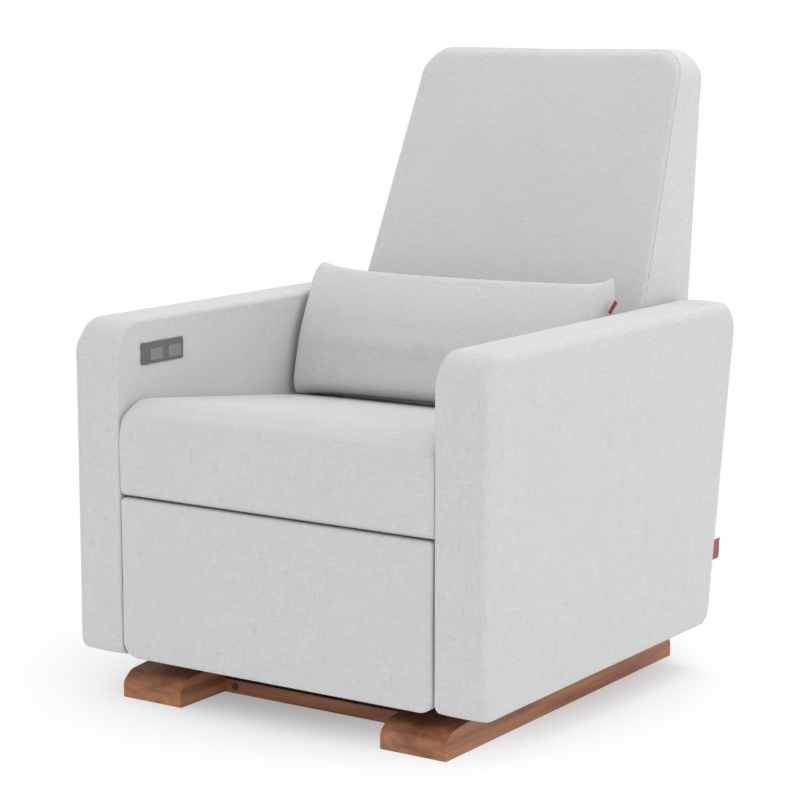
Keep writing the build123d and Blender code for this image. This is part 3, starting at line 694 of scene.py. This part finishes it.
def pillow():
    """The loose lumbar pillow: drawn in between its ears, slumped a little and pressed on the seat."""
    places, faces = pillow_grid(110, 50)
    p, q = bunched(places[:, 0]), bunched(places[:, 1])
    right = smooth((p + 1) / 2)
    ear = np.abs(p * q) ** (8 - 2.5 * right)
    pull = 0.004 + 0.016 * right
    round_off = 0.015 + 0.004 * right
    x = p * (PILLOW_HALF_WIDTH - pull * (1 - q * q) - round_off * ear)
    foot, head = 0.420, 0.681
    sag = (0.025 + 0.005 * right) * (1 - np.abs(p) ** 7)
    z = (foot + head) / 2 + q * ((head - foot) / 2 - sag - round_off * ear)
    z = z + 0.0055 * np.maximum(q, 0) * (1 + p) * right
    slump = q + 0.3 * (1 - q * q)
    blunt = 54 - 44 * right
    below = smooth(0.5 - slump)
    full = np.clip(1 - np.abs(slump) ** (2.5 + 1.5 * below), 0, 1) ** (0.6 - 0.08 * below)
    full = full * np.clip(1 - np.abs(p) ** blunt, 0, 1) ** 0.38
    y = pillow_plane(z) + places[:, 2] * PILLOW_HALF_DEPTH * full
    points = np.stack([x, y, z], axis=1)
    moved = inflate(points, faces, 4.0) - points
    moved[:, 2] *= smooth(q + 1)
    points = points + moved * min(1.0, 0.005 / np.linalg.norm(moved, axis=1).max())
    x, y, z = points.T
    room = 0.2985 + 0.0085 * smooth((z - 0.622) / 0.02)
    x = x / (1 + np.abs(x / room) ** 22) ** (1 / 22)
    z = np.maximum(z, seat_heights(x, y))
    piece = mesh_object("lumbar_pillow_padded", np.stack([x, y, z], axis=1), faces)
    refine(piece)
    return settle(piece, "pillow", "lumbar_pillow", fill=0.75)


def refine(piece):
    """Subdivide a piece once, smoothly."""
    step = piece.modifiers.new("refine", "SUBSURF")
    step.levels = step.render_levels = 1
    apply_modifiers(piece)


# ------------------------------------------------------------------ tabs
def tab(name, body, node, near, far):
    """A folded ribbon tab between a sewn edge and its fold, each given by its two ends."""
    along, across = 24, 14
    layer = (along + 1) * (across + 1)
    points, faces = [], []
    near, far = np.array(near), np.array(far)
    face = np.cross(far[0] - near[0], near[1] - near[0])
    face = face / np.linalg.norm(face)
    for side in (-1, 1):
        for j in range(along + 1):
            for i in range(across + 1):
                t, s = j / along, i / across
                edge = near[0] + (near[1] - near[0]) * t
                tip = far[0] + (far[1] - far[0]) * t
                fold = TAB_THICK * 0.5 * (1 - max(0, (s - 0.8) / 0.2) ** 2) ** 0.5 + 0.0001
                wave = 0.0005 * sin(pi * 2 * t) * s
                points.append(edge + (tip - edge) * s + face * (side * fold + wave))
        faces += quads(across, along, 0 if side < 0 else layer)
    for j in range(along):
        for i in (0, across):
            a = j * (across + 1) + i
            faces.append((a, a + across + 1, a + across + 1 + layer, a + layer))
    for i in range(across):
        for j in (0, along):
            a = j * (across + 1) + i
            faces.append((a, a + 1, a + 1 + layer, a + layer))
    return settle(mesh_object(name, points, faces), body, node, slot="tab_fabric")


def tabs():
    """The two woven tabs: one on the right arm's rear edge and one on the pillow's right seam."""
    low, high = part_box("arm_tab")
    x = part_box("arm_cover_right")[1].x - 0.003
    near = [(x, arm_rear(z) - 0.003, z - 0.006) for z in (low.z, high.z)]
    far = [(x, p[1] + 0.024, p[2]) for p in near]
    tab("arm_ribbon", "seat_frame", "arm_tab", near, far)
    low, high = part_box("pillow_tab")
    rows = ((0.287, 0.2935, low.z - 0.004), (0.2965, 0.303, high.z - 0.004))
    near = [(sewn, pillow_plane(z) - 0.001, z) for sewn, tip, z in rows]
    far = [(tip, pillow_plane(z) - 0.003, z - 0.003) for sewn, tip, z in rows]
    tab("pillow_ribbon", "pillow", "pillow_tab", near, far)


# ------------------------------------------------------------------ rear panel
def rear_panel():
    """The low rear panel between the arms, with an opening for the power inlet."""
    low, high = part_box("rear_panel")
    corners = ((low.x, low.z), (high.x, low.z), (high.x, high.z), (low.x, high.z))
    points = outline([(*corner, 0.015) for corner in corners], RING_POINTS)
    slab = Slab(points, level(low.y), level(high.y - 0.0045), (0.006, 0.010), crown=(0.0, 0.0015))

    def fit(p):
        x = np.clip(p[..., 0], low.x + 0.0006, high.x - 0.0006)
        return np.stack([x, np.clip(p[..., 1], low.y, high.y), p[..., 2]], axis=-1)

    piece = padded("rear_panel_padded", slab, XZ, fit, seams=(3.7,), cap=0.003)
    at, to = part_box("power_inlet")
    cut_pocket(piece, (at.x, low.y - 0.02, at.z), (to.x, high.y + 0.02, to.z))
    return settle(piece, "seat_frame", "rear_panel", fill=0.9)


def rear_flap():
    """The fabric flap that joins the rear panel's top to the backrest's skirt."""
    panel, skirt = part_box("rear_panel")[1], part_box("back_skirt")
    half, rows, columns = panel.x - 0.008, 26, 160
    start = np.array([panel.y - 0.018, panel.z - 0.010])
    end = np.array([skirt[1].y - 0.026, skirt[0].z + 0.014])
    points = []
    for j in range(rows + 1):
        for i in range(columns + 1):
            t, x = j / rows, half * (2 * i / columns - 1)
            gather = 0.0012 * sin(x * 95 + 2 * sin(x * 21)) * sin(pi * t)
            y, z = start + (end - start) * t
            points.append((x, y + 0.007 * sin(pi * t) + gather, z))
    piece = mesh_object("rear_flap", points, quads(columns, rows))
    settle(piece, None)
    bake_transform(piece)


# ------------------------------------------------------------------ camera, floor and light
def camera():
    """The studio camera, to the chair's front and right and a little above it."""
    turn, down = radians(33.77), radians(9.34)
    data = bpy.data.cameras.new("camera")
    data.sensor_width = 36.0
    data.lens = 108.64
    data.clip_end = 60.0
    cam = bpy.data.objects.new("camera", data)
    bpy.context.scene.collection.objects.link(cam)
    cam.location = (2.1791, ARM_FRONT - 2.8988, 1.1166)
    look = Vector((-sin(turn) * cos(down), cos(turn) * cos(down), -sin(down)))
    cam.rotation_euler = look.to_track_quat("-Z", "Y").to_euler()
    bpy.context.scene.camera = cam


def floor():
    """A pale studio floor that fades into the white surroundings."""
    piece = mesh_object("floor", [(-30, -30, 0), (30, -30, 0), (30, 30, 0), (-30, 30, 0)], [(0, 1, 2, 3)])
    n = Nodes("floor")
    where = n.add("TexCoord").outputs["Object"]
    reach = n.add("VectorMath", {0: where, 1: (-0.12, 0.10, 0.0)}, operation="DISTANCE").outputs["Value"]
    span = {"Value": reach, "From Min": 0.4, "From Max": 0.85}
    fade = n.add("MapRange", span, interpolation_type="SMOOTHSTEP").outputs["Result"]
    glow = n.add("Emission", {"Color": (1, 1, 1, 1), "Strength": 1.0})
    near = n.add("BsdfDiffuse", {"Color": (0.90, 0.90, 0.90, 1)})
    share = n.math("ADD", n.math("MULTIPLY", fade, 0.7), 0.3)
    mix = n.add("MixShader", {0: share, 1: near.outputs[0], 2: glow.outputs[0]})
    n.tree.nodes.remove(n.shader)
    n.tree.links.new(mix.outputs[0], n.output.inputs[0])
    piece.data.materials.append(n.material)


def area_light(name, place, target, size, power):
    """A soft rectangular light."""
    data = bpy.data.lights.new(name, "AREA")
    data.shape = "RECTANGLE"
    data.size, data.size_y = size
    data.energy = power
    light = bpy.data.objects.new(name, data)
    bpy.context.scene.collection.objects.link(light)
    light.location = place
    light.rotation_euler = (Vector(target) - Vector(place)).to_track_quat("-Z", "Y").to_euler()


def studio():
    """Even white surroundings, with a soft light at the right and another above and behind."""
    world = bpy.data.worlds.new("studio")
    bpy.context.scene.world = world
    world.use_nodes = True
    background = world.node_tree.nodes["Background"]
    background.inputs["Color"].default_value = (1, 1, 1, 1)
    background.inputs["Strength"].default_value = 1.03
    area_light("key", (3.8, 0.5, 1.8), (0, 0, 0.4), (2.0, 2.0), 15)
    area_light("top", (0.3, 1.5, 3.1), (0, -0.25, 0.4), (1.6, 1.2), 25)
    bpy.context.scene.view_settings.view_transform = "Standard"


camera()
floor()
studio()
paint_cad()
for arm_side in ("left", "right"):
    arm(arm_side)
footrest()
seat_cushion()
backrest()
pillow()
tabs()
rear_panel()
rear_flap()
